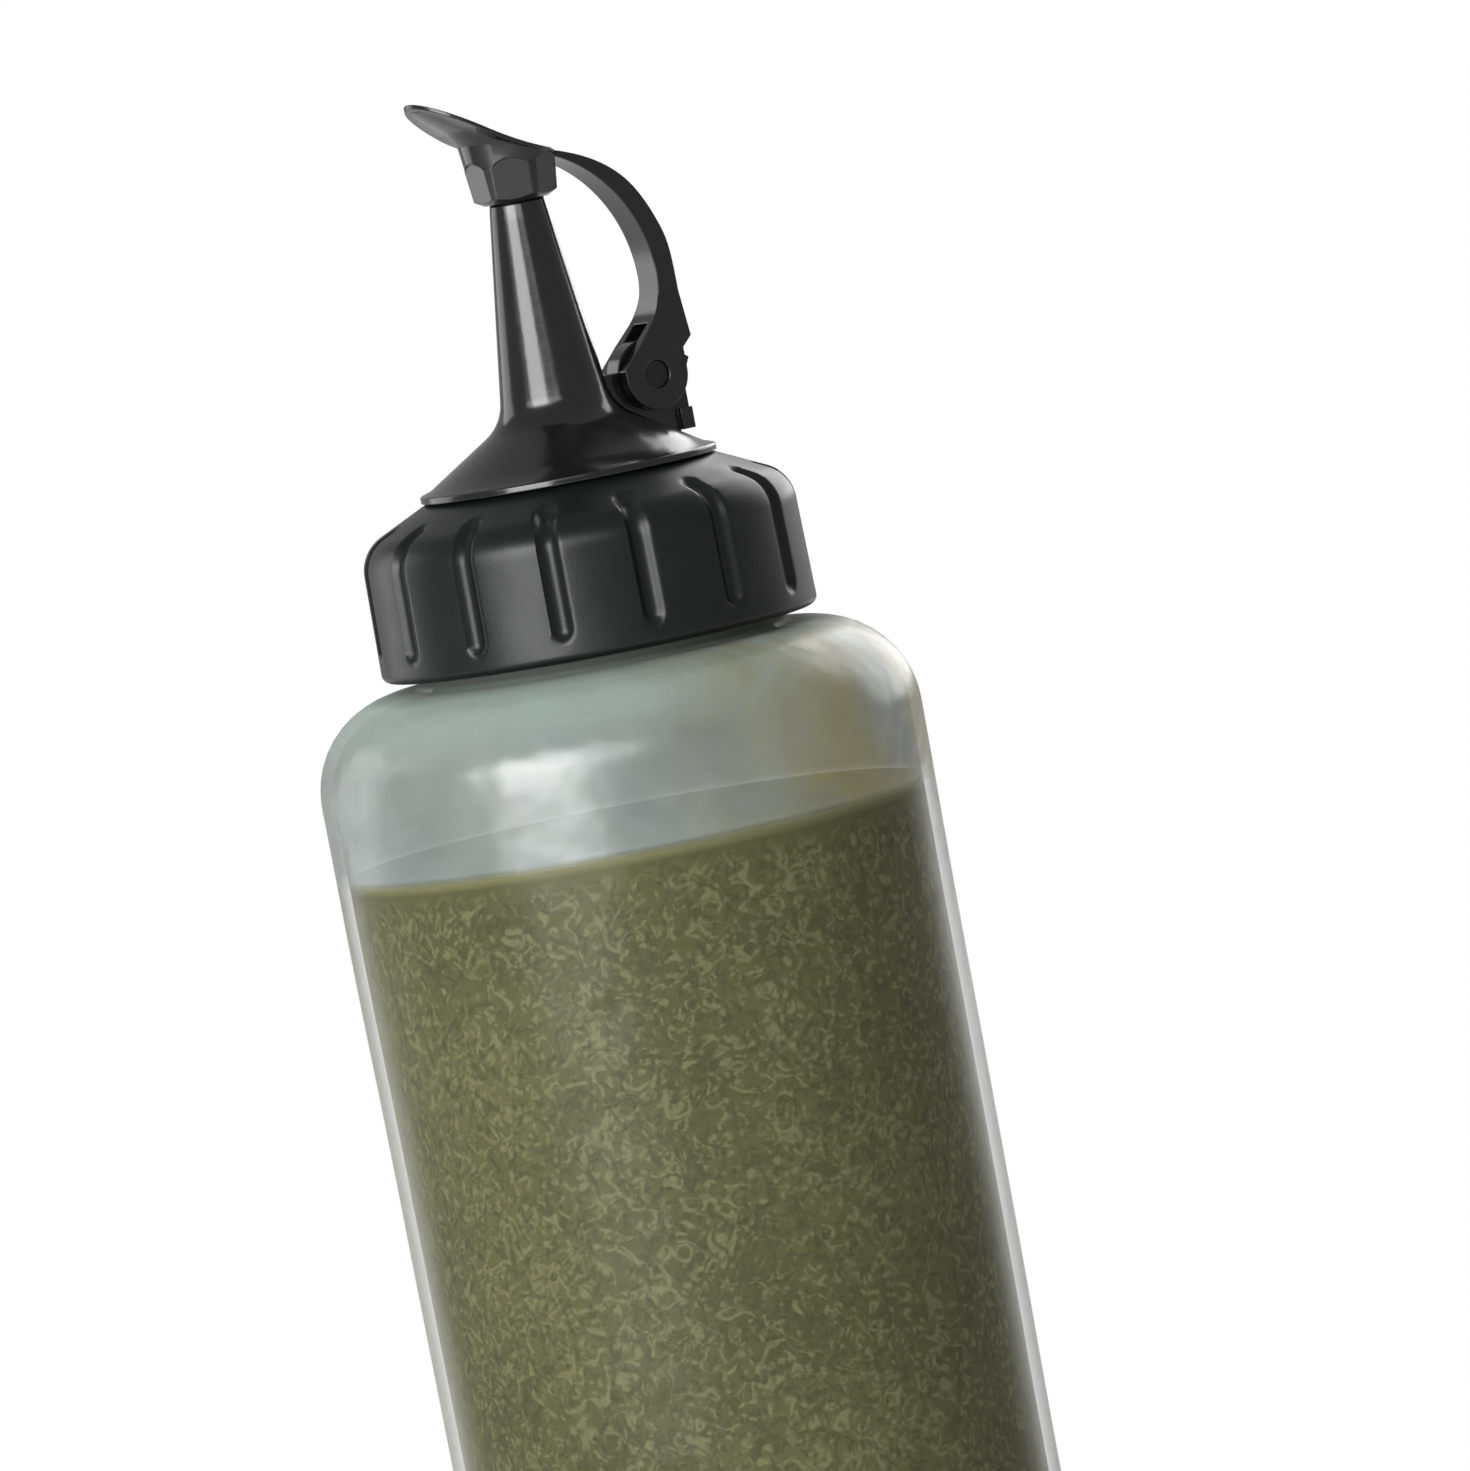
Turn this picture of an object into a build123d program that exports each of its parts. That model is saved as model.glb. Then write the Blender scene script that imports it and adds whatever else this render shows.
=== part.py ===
"""Dispensing sauce bottle with a flip cap, in millimetres, +Z up.

The origin is the centre of the bottle's standing face. The spout points up +Z,
the cap's hinge stands on the +X side and its thumb tab reaches towards -X.
Heights of the parts above the bottle are counted from a datum just over its shoulder.
"""
from build123d import *
from math import acos, cos, degrees, radians, sin, sqrt, tan
import os

# ---- bottle and sauce ---------------------------------------------------------
body_height = 131.5         # standing face to the top of the shoulder
body_radius = 33.0          # widest, just under the shoulder
base_radius = 32.2          # the side tapers to this at the base corner
wall = 1.3
shoulder_round = 10.8
base_round = 4.5
push_up = 2.6               # rise of the domed base
foot_ring_width = 1.7       # flat ring the bottle stands on
neck_radius = 20.0
neck_wall = 1.6
neck_height = 12.6          # above the shoulder
neck_root_round = 1.0
fill_level = 112.6
sauce_gap = 0.05

datum_rise = 0.5            # datum for the heights below, over the shoulder

# ---- collar -------------------------------------------------------------------
collar_low = 0.9            # height of its lower edge
collar_radius = 23.9
collar_top_radius = 23.65   # the side leans in to this
collar_crown = 15.25        # height where the lines of side and top meet
collar_shoulder = 4.3       # round between them
collar_slope = 25.6         # top's slope, degrees
collar_foot_round = 0.9
collar_bore = 21.7
collar_bore_round = 1.0
collar_lead_in = 0.6
collar_land = 19.2          # height of the flat ring round the hole
deck_wall = 2.0
hub_ring_wall = 1.5
flute_count = 15
flute_radius = 1.3
flute_depth = 0.75
flute_low = 4.4             # height of the lower ball end
flute_reach = 20.3          # radius of the upper ball end
flute_phase = 9.7           # turn of one flute from -Y, degrees

# ---- gasket and nozzle --------------------------------------------------------
gasket_thick = 1.2
gasket_bore = 17.2
flange_thick = 1.4
flange_radius = 20.4
turn_clearance = 0.1        # hub in the collar's hole, and play under the deck
hub_radius = 14.95
nozzle_wall = 1.5
lip_radius = 16.2
lip_thick = 0.7
cone_radius = 15.0          # where the cone runs out on the lip
cone_foot = 20.3
cone_slope = 32.5           # degrees
foot_round = 5.0            # hollow round between cone and spout
spout_height = 50.4
spout_slope = 0.1336        # radius lost per millimetre of height
tip_radius = 3.0            # spout radius where the nose starts
nose_drop = 1.0
nose_radius = 1.45          # outer radius of the tip's flat ring
orifice_radius = 1.1
channel_foot = 4.6          # bore radius at the spout's foot

# ---- hinge --------------------------------------------------------------------
hinge_x = 11.5
hinge_rise = 28.1
knuckle_radius = 3.8
pin_radius = 1.5
pin_recess = 0.4            # pin end below the ear's face
pin_running = 0.06          # radial clearance in the ears
post_width = 2.5            # fixed web between the ears
ear_gap = 0.28              # each side of the web
ear_width = 1.4
slot_radius = 5.6           # disc-cut slot in the arm that swings over the web
eye_radius = 4.0
post_back = 15.6            # the back face that stops the open cap
post_top = 29.0
post_foot = 21.6            # height of its overhanging foot
post_root = 14.1            # where the web runs down into the cone
heel_width = 3.8
heel_top = 23.9
beak_reach = 5.2            # detent beak, from the pin
beak_rise = 1.1

# ---- flip cap; its heights are above the spout's tip ------------------------------
cap_mouth = -1.05
mouth_radius = 3.35
hood_foot_radius = 3.5      # lower edge of the hood's chamfer
hood_radius = 4.55
rim_chamfer = 0.6
hood_top_radius = 4.95
hood_top = 3.0
facet_count = 6
facet_depth = 0.45
facet_width = 4.1
facet_shoulder = 2.9        # height where a facet's arched top springs
facet_arch = 0.9
# horn above the hood: left point, right point (X, height) and half width of each section
horn = (
    ((-4.6, 2.0), (4.6, 2.0), 4.599),
    ((-4.9, 3.0), (4.9, 3.0), 4.899),
    ((-5.02, 4.2), (5.0, 3.35), 5.03),
    ((-5.2, 5.8), (5.03, 3.7), 5.2),
    ((-6.3, 7.4), (5.1, 4.05), 5.5),
    ((-8.7, 9.1), (5.2, 4.4), 5.5),
    ((-12.6, 12.1), (5.3, 4.75), 5.5))
horn_trim = 7.5             # plan radius that ends the horn under the tab
tab_centre_x = -2.75        # plan ellipse of the tab
tab_size = (8.15, 5.9)
tab_edge = 0.45             # thickness of its rim
tab_tip = (-12.5, 12.3)     # line of the thumb rest, X and height
tab_bend = (-5.0, 7.35)
tab_end = (2.5, 4.1)
thumb_radius = 12.0
thumb_depth = 0.4
thumb_x = -4.2
thumb_lean = 29
arm_width = 4.1
arm_back = 16.5
arm_inside = 14.2               # X where the arm's inner curve is upright
arm_root = 2.7                  # height where that curve starts at the hood
arm_shape = ((15.6, 0.394), (13.2, 0.662), (9.4, 0.853))    # back: X, share of its rise
lower_bore = 7.3
# the arm's lower end; its heights are above the datum
arm_straight = (31.5, 37.5)     # heights between which the back is straight
arm_belly = 38.6                # height where the inner curve is upright
notch_height = 30.4
ear_flare = (31.6, 36.5)        # heights between which the arm widens to the ears

# ---- tip seal -------------------------------------------------------------------
seal_gap = 0.08
seal_thick = 1.6
seal_fit = 0.05
seal_dome_radius = 0.8
seal_dome = 0.35

# ---- heights that follow ----------------------------------------------------------
neck_top = body_height + neck_height
flange_base = neck_top + gasket_thick
flange_top = flange_base + flange_thick
deck_base = flange_top + turn_clearance
hub_hole = hub_radius + turn_clearance
ear_inner = post_width / 2 + ear_gap
ear_outer = ear_inner + ear_width


def up(height):
    """Height above the standing face of a height above the datum."""
    return body_height + datum_rise + height


def above_tip(height):
    """Height above the standing face of a height above the spout's tip."""
    return up(spout_height + height)


def pair(point):
    """The same for a point given as X and height."""
    return (point[0], above_tip(point[1]))


collar_base = up(collar_low)
hinge = (hinge_x, up(hinge_rise))


# ---- drawing helpers ------------------------------------------------------------
def outline(*corners):
    """Closed face through corners (x, z) or (x, z, round)."""
    points = [Vector(corner[0], corner[1]) for corner in corners]
    rounds = [corner[2] if len(corner) > 2 else 0 for corner in corners]
    arcs = []
    ends = []
    for i, here in enumerate(points):
        back = (points[i - 1] - here).normalized()
        ahead = (points[(i + 1) % len(points)] - here).normalized()
        half = radians(back.get_angle(ahead) / 2)
        setback = rounds[i] / tan(half)
        ends.append((here + back * setback, here + ahead * setback))
        if rounds[i]:
            middle = here + (back + ahead).normalized() * (rounds[i] / sin(half) - rounds[i])
            arcs.append(ThreePointArc(ends[i][0], middle, ends[i][1]))
    lines = [Line(ends[i - 1][1], ends[i][0]) for i in range(len(points))]
    return make_face(arcs + lines)


def turned(face):
    """Solid of revolution about Z of a face drawn in X (radius) and Z."""
    return revolve(Plane.XZ * face, Axis.Z)


def plate(face, width):
    """Plate with its outline in X and Z, centred on Y = 0."""
    return extrude(Plane.XZ * face, amount=width / 2, both=True)


def cross_rod(radius, length, centre):
    """Cylinder along Y."""
    return Pos(centre[0], 0, centre[1]) * Rot(90, 0, 0) * Cylinder(radius, length)


# ---- bottle ---------------------------------------------------------------------
def body_outline(inset, bore, top):
    """Half outline of the bottle's form shrunk by inset, with a neck of radius bore."""
    ring_inner = base_radius - base_round - foot_ring_width
    dome = (ring_inner ** 2 + push_up ** 2) / (2 * push_up) + inset
    ring = sqrt(push_up * (2 * dome - push_up))
    middle = (ring / 2, push_up + inset - dome + sqrt(dome ** 2 - ring ** 2 / 4))
    corner = (base_radius - base_round, base_round)
    shoulder = (body_radius - shoulder_round, body_height - shoulder_round)
    root = neck_root_round + inset
    root_centre = (bore + root, body_height - inset + root)
    return make_face([
        ThreePointArc((0, push_up + inset), middle, (ring, inset)),
        Line((ring, inset), (corner[0], inset)),
        CenterArc(corner, base_round - inset, -90, 90),
        Line((base_radius - inset, corner[1]), (body_radius - inset, shoulder[1])),
        CenterArc(shoulder, shoulder_round - inset, 0, 90),
        Line((shoulder[0], body_height - inset), (root_centre[0], body_height - inset)),
        CenterArc(root_centre, root, 180, 90),
        Line((bore, root_centre[1]), (bore, top)),
        Line((bore, top), (0, top)),
        Line((0, top), (0, push_up + inset)),
    ])


def make_bottle():
    inside = turned(body_outline(wall, neck_radius - neck_wall, neck_top + 1))
    return turned(body_outline(0, neck_radius, neck_top)) - inside


def make_sauce():
    inside = turned(body_outline(wall + sauce_gap, neck_radius - neck_wall, neck_top))
    return inside & Pos(0, 0, fill_level / 2) * Cylinder(body_radius, fill_level)


# ---- collar ---------------------------------------------------------------------
def slope_height(radius):
    """Height of the collar's sloping top at a radius."""
    return up(collar_crown) + (collar_top_radius - radius) * tan(radians(collar_slope))


def slope_radius(height):
    """Radius of the collar's sloping top at a height."""
    return collar_top_radius - (height - up(collar_crown)) / tan(radians(collar_slope))


def make_collar_blank():
    ring = hub_hole + hub_ring_wall
    cored_top = slope_height(ring) - deck_wall
    cored_edge = ring + (cored_top - deck_base) / tan(radians(collar_slope))
    return turned(outline(
        (collar_bore + collar_lead_in, collar_base),
        (collar_radius, collar_base, collar_foot_round),
        (collar_top_radius, up(collar_crown), collar_shoulder),
        (slope_radius(up(collar_land)), up(collar_land)),
        (hub_hole, up(collar_land)),
        (hub_hole, deck_base),
        (ring, deck_base),
        (ring, cored_top),
        (cored_edge, deck_base),
        (collar_bore, deck_base, collar_bore_round),
        (collar_bore, collar_base + collar_lead_in),
    ))


def make_flute():
    """Ball-ended groove cutter that runs up the side and over the shoulder."""
    proud = flute_radius - flute_depth
    lean = radians(collar_slope)
    low = (collar_radius + proud, up(flute_low))
    bend = (collar_top_radius + proud,
            up(collar_crown) + proud / cos(lean) - proud * tan(lean))
    high = (flute_reach + proud * sin(lean), slope_height(flute_reach) + proud * cos(lean))
    run = Plane.XZ * FilletPolyline(low, bend, high, radius=collar_shoulder + proud)
    start = Plane(run @ 0, z_dir=run % 0)
    groove = sweep(start * Circle(flute_radius), run)
    return groove + [Pos(run @ end) * Sphere(flute_radius) for end in (0, 1)]


def make_collar():
    flute = make_flute()
    turns = [flute_phase - 90 + i * 360 / flute_count for i in range(flute_count)]
    return make_collar_blank() - [Rot(0, 0, turn) * flute for turn in turns]


# ---- gasket and nozzle ------------------------------------------------------------
def make_gasket():
    ring = Cylinder(flange_radius, gasket_thick) - Cylinder(gasket_bore, gasket_thick)
    return Pos(0, 0, neck_top + gasket_thick / 2) * ring


def cone_height(radius):
    """Height of the cone's outer face at a radius."""
    return cone_foot + (cone_radius - radius) * tan(radians(cone_slope))


def spout_foot():
    """Radius and height where the lines of cone and spout meet."""
    climb = tan(radians(cone_slope))
    nose = spout_height - nose_drop
    radius = tip_radius + spout_slope * (nose - cone_foot - cone_radius * climb)
    radius = radius / (1 - spout_slope * climb)
    return radius, cone_height(radius)


def make_nozzle_shell():
    bore = hub_radius - nozzle_wall
    under = nozzle_wall / cos(radians(cone_slope))
    foot = spout_foot()
    return turned(outline(
        (bore, flange_base),
        (flange_radius, flange_base),
        (flange_radius, flange_top),
        (hub_radius, flange_top),
        (hub_radius, up(collar_land)),
        (lip_radius, up(collar_land)),
        (lip_radius, up(collar_land) + lip_thick, lip_thick / 3),
        (cone_radius, up(cone_foot)),
        (foot[0], up(foot[1]), foot_round),
        (tip_radius, up(spout_height - nose_drop), nose_drop),
        (nose_radius, up(spout_height)),
        (orifice_radius, up(spout_height)),
        (channel_foot, up(cone_height(channel_foot) - under), foot_round / 2),
        (bore, up(cone_height(bore) - under)),
    ))


def make_post():
    """Web that carries the pin, with its eye, detent beak and overhanging heel."""
    foot = spout_foot()
    inside = nozzle_wall / 2
    web = outline(
        (foot[0] - inside, up(post_top)),
        (hinge_x, up(post_top)),
        (hinge_x + eye_radius * cos(radians(40)), hinge[1] + eye_radius * sin(radians(40))),
        (hinge_x + beak_reach, hinge[1] + beak_rise),
        (post_back, hinge[1] - beak_rise),
        (post_back, up(post_foot)),
        (post_root, up(post_foot)),
        (post_root, up(cone_height(post_root)) - inside),
        (foot[0], up(foot[1]) - inside),
    )
    heel = outline(
        (post_root, up(post_foot)), (post_back, up(post_foot)),
        (post_back, up(heel_top)), (post_root, up(heel_top)))
    post = plate(web, post_width) + cross_rod(eye_radius, post_width, hinge)
    return post + plate(heel, heel_width)


def make_nozzle():
    return make_nozzle_shell() + make_post() - cross_rod(pin_radius, 2 * post_width, hinge)


def make_pin():
    return cross_rod(pin_radius, 2 * (ear_outer - pin_recess), hinge)


# ---- flip cap ---------------------------------------------------------------------
def horn_section(left, right, half_width):
    """Ellipse across the horn through its left and right points."""
    across = Vector(*pair(right)) - Vector(*pair(left))
    centre = Vector(*pair(left)) + across / 2
    tilt = Plane((centre.X, 0, centre.Y), x_dir=(across.X, 0, across.Y),
                 z_dir=(-across.Y, 0, across.X))
    return tilt * Ellipse(across.length / 2, half_width)


def make_hood(outside):
    """Hood with its horn, cut down to the thumb rest, and the thin rim of the tab."""
    hood = turned(outline(
        (0, above_tip(cap_mouth)),
        (hood_foot_radius, above_tip(cap_mouth)),
        (hood_radius, above_tip(cap_mouth + rim_chamfer)),
        (hood_top_radius, above_tip(hood_top)),
        (0, above_tip(hood_top)),
    ))
    flare = loft([horn_section(*section) for section in horn], ruled=True)
    middle = Pos(tab_centre_x, 0, above_tip(horn[-1][0][1]))
    flare &= middle * Cylinder(horn_trim, 2 * arm_back)
    facets = [Rot(0, 0, i * 360 / facet_count) * make_facet() for i in range(facet_count)]
    tab = middle * extrude(Ellipse(*tab_size), amount=tab_size[0], both=True)
    tab &= Pos(0, 0, -tab_edge) * outside
    return hood + flare - facets + tab - outside


def make_facet():
    """Cutter for one arched flat on the +X side, leaning with the hood."""
    lean = (hood_top_radius - hood_radius) / (hood_top - cap_mouth - rim_chamfer)
    foot = Plane((hood_radius - facet_depth, 0, above_tip(cap_mouth + rim_chamfer)),
                 x_dir=(0, 1, 0), z_dir=(1, 0, -lean))
    low = -2 * rim_chamfer
    spring = facet_shoulder - cap_mouth - rim_chamfer
    half = facet_width / 2
    arch = make_face([
        Line((-half, spring), (-half, low)), Line((-half, low), (half, low)),
        Line((half, low), (half, spring)),
        ThreePointArc((half, spring), (0, spring + facet_arch), (-half, spring))])
    return extrude(foot * arch, amount=hood_radius)


def cap_line():
    """The cap's upper line: thumb rest, hollow, and the arm's back to its straight."""
    tip, bend, end = pair(tab_tip), pair(tab_bend), pair(tab_end)
    rest = Line(tip, bend)
    hollow = TangentArc(bend, end, tangent=rest % 1)
    low = up(arm_straight[1])
    shape = [(x, low + share * (end[1] - low)) for x, share in reversed(arm_shape)]
    back = Spline(end, *shape, (arm_back, low),
                  tangents=[hollow % 1, (0, -1)])
    return rest, hollow, back


def make_outside():
    """All that lies over the thumb rest and behind the arm."""
    rest, hollow, back = cap_line()
    over = above_tip(horn[-1][0][1]) + 2 * tab_size[0]
    far = 2 * arm_back
    low = up((arm_straight[0] + notch_height) / 2)
    rim = [back @ 1, (arm_back, low), (far, low), (far, over), (tab_tip[0], over), rest @ 0]
    face = make_face([rest, hollow, back] + [Line(rim[i], rim[i + 1]) for i in range(5)])
    return plate(face, 4 * hood_top_radius)


def make_arm():
    """C-shaped arm with the ears at its lower end, oversize on its outer side."""
    run = arm_inside - hood_top_radius
    rise = above_tip(arm_root) - up(arm_belly)
    bore = (run ** 2 + rise ** 2) / (2 * run)
    start = tab_end[0]
    centre = (arm_inside - bore, up(arm_belly))
    inner_angle = degrees(acos((start - centre[0]) / bore))
    inner = CenterArc(centre, bore, inner_angle, -inner_angle)
    lower = CenterArc((arm_inside - lower_bore, up(arm_belly)), lower_bore, 0, -45)
    left = hinge_x - knuckle_radius
    low = lower @ 1
    tip = (left, low.Y - (low.X - left))
    right = hinge_x + knuckle_radius
    reach = 2 * (arm_back - right)
    climb = (arm_straight[0] - notch_height) / (arm_back - right)
    rim = [(right, hinge[1]), (right, up(notch_height)),
           (right + reach, up(notch_height + climb * reach)),
           (right + reach, above_tip(tab_bend[1])), (start, above_tip(tab_bend[1])), inner @ 0]
    face = make_face([
        inner, lower, Line(low, tip), Line(tip, (left, hinge[1])),
        CenterArc(hinge, knuckle_radius, 180, 180)]
        + [Line(rim[i], rim[i + 1]) for i in range(5)])
    front = outline(
        (-ear_outer, up(hinge_rise - 2 * knuckle_radius)),
        (ear_outer, up(hinge_rise - 2 * knuckle_radius)),
        (ear_outer, up(ear_flare[0]), 3), (arm_width / 2, up(ear_flare[1]), 3),
        (arm_width / 2, pair(tab_tip)[1]), (-arm_width / 2, pair(tab_tip)[1]),
        (-arm_width / 2, up(ear_flare[1]), 3), (-ear_outer, up(ear_flare[0]), 3))
    return plate(face, 2 * ear_outer) & extrude(Plane.YZ * front, amount=2 * arm_back)


def make_cap():
    lean = radians(thumb_lean)
    over = thumb_radius - thumb_depth
    rest_height = above_tip(tab_bend[1]) + (tab_bend[0] - thumb_x) * tan(lean)
    thumb = Pos(thumb_x + over * sin(lean), 0, rest_height + over * cos(lean))
    cavity = Cylinder(mouth_radius, 2 * (seal_gap + seal_thick - cap_mouth))
    outside = make_outside()
    cap = make_hood(outside) + (make_arm() - outside)
    cap -= thumb * Sphere(thumb_radius)
    cap -= Pos(0, 0, above_tip(cap_mouth)) * cavity
    cap -= cross_rod(slot_radius, 2 * ear_inner, hinge)
    return cap - cross_rod(pin_radius + pin_running, 3 * ear_outer, hinge)


def make_seal():
    """Soft disc in the hood with a low dome that enters the orifice."""
    face = above_tip(seal_gap)
    disc = Pos(0, 0, face + seal_thick / 2) * Cylinder(mouth_radius - seal_fit, seal_thick)
    ball = (seal_dome_radius ** 2 + seal_dome ** 2) / (2 * seal_dome)
    dome = Pos(0, 0, face - seal_dome + ball) * Sphere(ball)
    return disc + (dome & Pos(0, 0, face) * Cylinder(seal_dome_radius, 2 * seal_dome))


parts = {
    "bottle": make_bottle,
    "sauce": make_sauce,
    "screw_collar": make_collar,
    "neck_gasket": make_gasket,
    "nozzle": make_nozzle,
    "hinge_pin": make_pin,
    "flip_cap": make_cap,
    "tip_seal": make_seal,
}

os.makedirs("parts", exist_ok=True)
for name, make in parts.items():
    export_step(make(), f"parts/{name}.step")
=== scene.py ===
# %% [markdown]
# # A dispensing sauce bottle with a flip cap
#
# The bottle is a soft blow-moulded body, milky and a little see-through, filled with
# an olive-green sauce. A fluted black collar screws onto its neck and holds a black
# nozzle, and a small cap with a thumb tab flips open on a hinge at the nozzle's back.
# The construction comes first, as a fixed frame that nothing here moves or resizes.
# This lesson dresses that frame: it makes finer surfaces for the pieces that show,
# adds the screw threads, and gives every piece its finish.

# %% Load the frame
from math import cos, pi, radians, sin, tan

import bmesh
import bpy
import numpy as np
from mathutils import Matrix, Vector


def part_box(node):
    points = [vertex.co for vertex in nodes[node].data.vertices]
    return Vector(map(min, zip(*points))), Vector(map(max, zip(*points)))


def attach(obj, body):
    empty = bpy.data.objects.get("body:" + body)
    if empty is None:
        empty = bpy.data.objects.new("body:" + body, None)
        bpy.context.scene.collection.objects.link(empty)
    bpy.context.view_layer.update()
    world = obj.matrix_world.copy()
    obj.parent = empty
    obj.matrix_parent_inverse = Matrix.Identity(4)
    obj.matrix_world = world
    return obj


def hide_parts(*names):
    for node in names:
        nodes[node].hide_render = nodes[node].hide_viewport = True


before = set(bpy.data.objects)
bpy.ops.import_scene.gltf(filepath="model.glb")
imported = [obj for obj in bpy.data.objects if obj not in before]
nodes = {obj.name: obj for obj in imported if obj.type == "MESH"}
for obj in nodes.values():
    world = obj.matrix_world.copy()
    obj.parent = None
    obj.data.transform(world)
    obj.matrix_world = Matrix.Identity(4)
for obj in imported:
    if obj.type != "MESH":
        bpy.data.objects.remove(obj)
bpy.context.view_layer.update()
mm = 0.001

# %% [markdown]
# ## Camera
#
# The bottle is seen from its left front, nearly level and from a good arm's length
# away, through a long lens that hardly shows any perspective. The camera is rolled a
# little, so the bottle leans in the frame as it does in a hand. A camera object's own
# axes are set from three vectors: where it looks from, what is right, what is up.

# %% Camera
view_azimuth = radians(-30)
view_elevation = radians(4.4)
view_roll = radians(10.7)
view_distance = 1.06
sensor_width = 36.0
frame_pixels = 1470                  # width of the whole frame
pixels_per_mm = 9.25                 # scale at the bottle
seen_width = frame_pixels / pixels_per_mm * mm
aim_right = 12.4 * mm                # frame centre, right of the bottle's axis
aim_height = 120.3 * mm              # and above its foot

toward_camera = np.array([sin(view_azimuth) * cos(view_elevation),
                          -cos(view_azimuth) * cos(view_elevation), sin(view_elevation)])
level_right = np.array([cos(view_azimuth), sin(view_azimuth), 0.0])
level_up = np.cross(toward_camera, level_right)
camera_right = cos(view_roll) * level_right - sin(view_roll) * level_up
camera_up = sin(view_roll) * level_right + cos(view_roll) * level_up
aim = aim_right * level_right + np.array([0, 0, aim_height])
place = aim + view_distance * toward_camera

camera_data = bpy.data.cameras.new("camera")
camera_data.sensor_width = sensor_width
camera_data.lens = sensor_width * view_distance / seen_width
camera = bpy.data.objects.new("camera", camera_data)
bpy.context.scene.collection.objects.link(camera)
camera_matrix = np.eye(4)
camera_matrix[:3, 0] = camera_right
camera_matrix[:3, 1] = camera_up
camera_matrix[:3, 2] = toward_camera
camera_matrix[:3, 3] = place
camera.matrix_world = Matrix(camera_matrix.tolist())
bpy.context.scene.camera = camera
print("lens", round(camera_data.lens, 1), "mm")

# %% [markdown]
# ## Surfaces from arrays
#
# Most pieces here are surfaces of two parameters. Their points are worked out with
# numpy as one whole array, `grid[i, j] = (x, y, z)`, and joined into four-sided faces.
# One helper writes such a grid into a mesh. The second direction runs round the
# bottle, or round a thread's section, so the last column joins the first.

# %% Grid to mesh
touching = 0.002 * mm                # points nearer than this become one


def smooth_shaded(mesh, sharp_degrees):
    """Smooth shading, with sharp edges where faces meet at more than an angle."""
    mesh.polygons.foreach_set("use_smooth", np.ones(len(mesh.polygons), dtype=bool))
    mesh.set_sharp_from_angle(angle=radians(sharp_degrees))


def finished(name, mesh, sharp_degrees):
    """Object of a mesh: touching points merged, smooth except over sharp edges."""
    work = bmesh.new()
    work.from_mesh(mesh)
    bmesh.ops.remove_doubles(work, verts=work.verts, dist=touching)
    bmesh.ops.dissolve_degenerate(work, dist=touching / 20, edges=work.edges)
    work.to_mesh(mesh)
    work.free()
    smooth_shaded(mesh, sharp_degrees)
    piece = bpy.data.objects.new(name, mesh)
    bpy.context.scene.collection.objects.link(piece)
    return piece


def surface(name, grid, sharp_degrees=35):
    """Mesh of a grid of points: quads between neighbours, closed round the columns."""
    rows, columns = grid.shape[:2]
    index = np.arange(rows * columns).reshape(rows, columns)
    onward = np.roll(index, -1, axis=1)
    quads = np.stack([index[:-1], onward[:-1], onward[1:], index[1:]], axis=-1)
    mesh = bpy.data.meshes.new(name)
    mesh.from_pydata(grid.reshape(-1, 3).tolist(), [], quads.reshape(-1, 4).tolist())
    return finished(name, mesh, sharp_degrees)


# %% Profiles
def rounded_profile(corners, steps):
    """Polyline through (radius, height, round) corners, each round drawn as an arc."""
    points = []
    corners = [np.array(corner + (0,) * (3 - len(corner)), dtype=float) for corner in corners]
    behind, beyond = [corners[0]] + corners[:-1], corners[1:] + [corners[-1]]
    for back, here, ahead in zip(behind, corners, beyond):
        if here[2] == 0 or back is here or ahead is here:
            points.append(here[:2])
            continue
        to_back = (back - here)[:2] / np.linalg.norm((back - here)[:2])
        to_ahead = (ahead - here)[:2] / np.linalg.norm((ahead - here)[:2])
        half = np.arccos(np.clip(to_back @ to_ahead, -1, 1)) / 2
        centre = here[:2] + (to_back + to_ahead) / (2 * cos(half)) * here[2] / sin(half)
        first = here[:2] + to_back * here[2] / tan(half)
        last = here[:2] + to_ahead * here[2] / tan(half)
        share = np.linspace(0, 1, steps)[:, None]
        chord = first + (last - first) * share - centre
        points.extend(centre + chord / np.linalg.norm(chord, axis=1)[:, None] * here[2])
    return np.array(points)


def divided(profile, step):
    """The same polyline with no run longer than step, corners kept."""
    runs = np.linalg.norm(np.diff(profile, axis=0), axis=1)
    counts = np.maximum(1, np.ceil(runs / step)).astype(int)
    share = np.concatenate([np.arange(count) / count for count in counts])
    start = np.repeat(np.arange(len(runs)), counts)
    points = profile[start] + (profile[start + 1] - profile[start]) * share[:, None]
    return np.vstack([points, profile[-1]])


def turned(profile, turns):
    """Grid of a profile (radius, height) turned about the bottle's axis."""
    angle = np.linspace(0, 2 * pi, turns, endpoint=False)
    radius, height = profile[:, 0, None], profile[:, 1, None]
    return np.stack([radius * np.cos(angle), radius * np.sin(angle),
                     height + 0 * angle], axis=-1)


# %% [markdown]
# ## Sizes
#
# The frame gives the size of every node. The few sizes that a box can't tell, such as
# the rounds and the wall, are written down once here, in metres.

# %% Sizes of the bottle and collar
body_radius, _, neck_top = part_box("bottle")[1]
fill_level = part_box("sauce")[1][2]
gasket_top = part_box("neck_gasket")[1][2]
collar_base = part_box("screw_collar")[0][2]
collar_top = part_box("screw_collar")[1][2]
base_radius = body_radius - 0.8 * mm
neck_radius = 20.0 * mm
neck_wall = 1.6 * mm
wall = 1.3 * mm
body_top = neck_top - 12.6 * mm
shoulder_round = 10.8 * mm
base_round = 4.5 * mm
push_up = 2.6 * mm
foot_ring = 1.7 * mm
neck_root = 1.0 * mm
collar_bore = 21.7 * mm
print("fill level", round(fill_level / mm, 1), "collar base", round(collar_base / mm, 1), "mm")

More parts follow.
